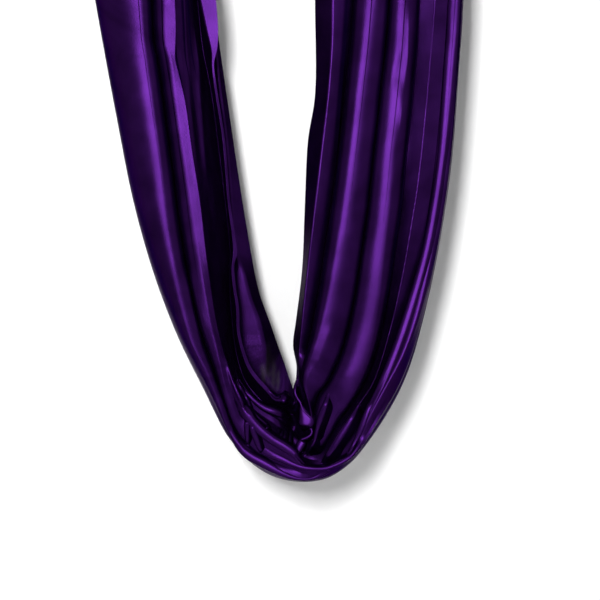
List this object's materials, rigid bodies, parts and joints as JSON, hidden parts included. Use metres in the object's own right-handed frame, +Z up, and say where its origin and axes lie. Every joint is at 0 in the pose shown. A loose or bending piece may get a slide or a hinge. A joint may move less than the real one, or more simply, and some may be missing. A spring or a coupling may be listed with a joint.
{
  "type": "aerial yoga hammock",
  "caption": "Wide satin cloth gathered into a hanging U, tied at each end to a screw-gate carabiner, an extension strap with pockets and a ceiling anchor plate.",
  "frame": {"origin": "on the ceiling plane, midway between the two anchor eyes", "axes": "+X from the left anchor to the right one, +Y away from the viewer, +Z up; the cloth's lowest point is 2.396 m below the ceiling"},
  "size_m": [0.7, 0.132, 2.4438],
  "materials": {
    "cloth": "satin",
    "webbing": "matte",
    "carabiner_metal": "satin",
    "sleeve_metal": "satin",
    "steel": "satin"
  },
  "bodies": {
    "ceiling_anchors": {"left_anchor_plate": "steel", "left_lag_screw_1": "steel", "left_lag_screw_2": "steel", "left_lag_screw_3": "steel", "left_lag_screw_4": "steel", "left_washer_1": "steel", "left_washer_2": "steel", "left_washer_3": "steel", "left_washer_4": "steel", "right_anchor_plate": "steel", "right_lag_screw_1": "steel", "right_lag_screw_2": "steel", "right_lag_screw_3": "steel", "right_lag_screw_4": "steel", "right_washer_1": "steel", "right_washer_2": "steel", "right_washer_3": "steel", "right_washer_4": "steel"},
    "left_hanger": {"left_upper_carabiner": "carabiner_metal", "left_upper_gate_pin": "steel"},
    "left_upper_gate": {"left_upper_gate": "carabiner_metal", "left_upper_gate_spring": "steel"},
    "left_upper_sleeve": {"left_upper_sleeve": "sleeve_metal"},
    "right_hanger": {"right_upper_carabiner": "carabiner_metal", "right_upper_gate_pin": "steel"},
    "right_upper_gate": {"right_upper_gate": "carabiner_metal", "right_upper_gate_spring": "steel"},
    "right_upper_sleeve": {"right_upper_sleeve": "sleeve_metal"},
    "left_strap": {"left_strap_webbing": "webbing", "left_strap_pockets": "webbing"},
    "right_strap": {"right_strap_webbing": "webbing", "right_strap_pockets": "webbing"},
    "hammock": {"hammock_cloth": "cloth", "left_end_knot": "cloth", "right_end_knot": "cloth", "left_lower_carabiner": "carabiner_metal", "left_lower_gate_pin": "steel", "right_lower_carabiner": "carabiner_metal", "right_lower_gate_pin": "steel"},
    "left_lower_gate": {"left_lower_gate": "carabiner_metal", "left_lower_gate_spring": "steel"},
    "left_lower_sleeve": {"left_lower_sleeve": "sleeve_metal"},
    "right_lower_gate": {"right_lower_gate": "carabiner_metal", "right_lower_gate_spring": "steel"},
    "right_lower_sleeve": {"right_lower_sleeve": "sleeve_metal"}
  },
  "joints": [
    {"name": "left_swing", "type": "hinge", "parent": "ceiling_anchors", "child": "left_hanger", "pos_m": [-0.3, 0, -0.035], "axis": [1, 0, 0], "range_deg": [-60, 60]},
    {"name": "right_swing", "type": "hinge", "parent": "ceiling_anchors", "child": "right_hanger", "pos_m": [0.3, 0, -0.035], "axis": [1, 0, 0], "range_deg": [-60, 60]},
    {"name": "left_sway", "type": "hinge", "parent": "left_hanger", "child": "left_strap", "pos_m": [-0.3, 0, -0.1227], "axis": [0, 1, 0], "range_deg": [-20, 20]},
    {"name": "right_sway", "type": "hinge", "parent": "right_hanger", "child": "right_strap", "pos_m": [0.3, 0, -0.1227], "axis": [0, 1, 0], "range_deg": [-20, 20]},
    {"name": "hammock_level", "type": "hinge", "parent": "left_strap", "child": "hammock", "pos_m": [-0.3, 0, -0.5227], "axis": [0, 1, 0], "range_deg": [-20, 20]},
    {"name": "left_upper_gate_hinge", "type": "hinge", "parent": "left_hanger", "child": "left_upper_gate", "pos_m": [-0.3, -0.02, -0.0572], "axis": [1, 0, 0], "range_deg": [0, 28], "stiffness_Nm_per_rad": 0.05, "springref_deg": -20.05},
    {"name": "right_upper_gate_hinge", "type": "hinge", "parent": "right_hanger", "child": "right_upper_gate", "pos_m": [0.3, -0.02, -0.0572], "axis": [1, 0, 0], "range_deg": [0, 28], "stiffness_Nm_per_rad": 0.05, "springref_deg": -20.05},
    {"name": "left_lower_gate_hinge", "type": "hinge", "parent": "hammock", "child": "left_lower_gate", "pos_m": [-0.3, -0.02, -0.5552], "axis": [1, 0, 0], "range_deg": [0, 28], "stiffness_Nm_per_rad": 0.05, "springref_deg": -20.05},
    {"name": "right_lower_gate_hinge", "type": "hinge", "parent": "hammock", "child": "right_lower_gate", "pos_m": [0.3, -0.02, -0.5552], "axis": [1, 0, 0], "range_deg": [0, 28], "stiffness_Nm_per_rad": 0.05, "springref_deg": -20.05},
    {"name": "left_upper_sleeve_slide", "type": "slide", "parent": "left_upper_gate", "child": "left_upper_sleeve", "axis": [0, 0, -1], "range_m": [0, 0.012]},
    {"name": "right_upper_sleeve_slide", "type": "slide", "parent": "right_upper_gate", "child": "right_upper_sleeve", "axis": [0, 0, -1], "range_m": [0, 0.012]},
    {"name": "left_lower_sleeve_slide", "type": "slide", "parent": "left_lower_gate", "child": "left_lower_sleeve", "axis": [0, 0, -1], "range_m": [0, 0.012]},
    {"name": "right_lower_sleeve_slide", "type": "slide", "parent": "right_lower_gate", "child": "right_lower_sleeve", "axis": [0, 0, -1], "range_m": [0, 0.012]}
  ],
  "couplings": [
    {"joint": "right_swing", "follows": "left_swing", "ratio": 1},
    {"joint": "left_sway", "follows": "hammock_level", "ratio": -1},
    {"joint": "right_sway", "follows": "hammock_level", "ratio": -1}
  ]
}
